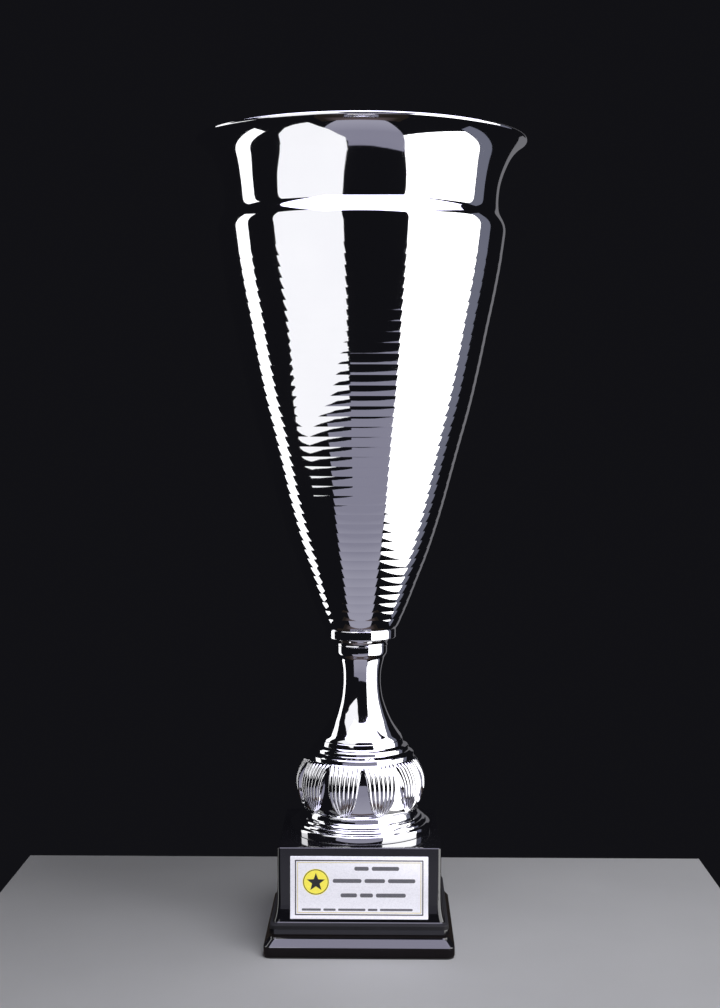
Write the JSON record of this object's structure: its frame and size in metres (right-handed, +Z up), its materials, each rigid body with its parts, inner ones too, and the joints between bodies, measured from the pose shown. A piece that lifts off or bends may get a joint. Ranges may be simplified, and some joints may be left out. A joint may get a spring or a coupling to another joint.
{
  "type": "cup trophy",
  "caption": "Tall chromed trophy cup with a flared rim and stepped bands, on a trumpet stem, petalled bulb and ringed foot over a square black plinth with a blank name plate.",
  "frame": {"origin": "centre of the flat underside of the base pad, on the axis of the cup", "axes": "+Z up along the cup's axis; the name plate faces -Y; +X is to the right seen from the front"},
  "size_m": [0.248, 0.2479, 0.6012],
  "materials": {
    "chromed_metal": "mirror-polished spun metal, chromed",
    "plated_plastic": "mirror metallised moulding",
    "zinc_steel": "bright zinc-plated steel",
    "rubber": "matt black",
    "black_gloss": "polished black moulding",
    "iron": "rough cast, oiled",
    "board": "hard-pressed fibre board",
    "plate_metal": "white-silver coated, fine sparkle",
    "plate_ink": "printed line, satin",
    "emblem_ink": "printed yellow, satin",
    "tape": "white foam tape"
  },
  "bodies": {
    "root": {"cup_bowl": "chromed_metal", "bowl_nut": "zinc_steel", "bowl_washer": "zinc_steel", "sealing_washer": "rubber", "bowl_collar": "plated_plastic", "neck_ring": "plated_plastic", "stem_riser": "plated_plastic", "ring_dome": "plated_plastic", "petal_bulb": "plated_plastic", "bulb_spacer": "zinc_steel", "foot_flange": "plated_plastic", "tie_rod": "zinc_steel", "plinth_body": "black_gloss", "iron_weight": "iron", "plinth_washer": "zinc_steel", "lock_washer": "zinc_steel", "plinth_nut": "zinc_steel", "closing_board": "board", "board_screws": "zinc_steel", "base_pad": "rubber", "name_plate": "plate_metal", "plate_border": "plate_ink", "plate_emblem": "emblem_ink", "plate_tape": "tape"}
  },
  "joints": []
}
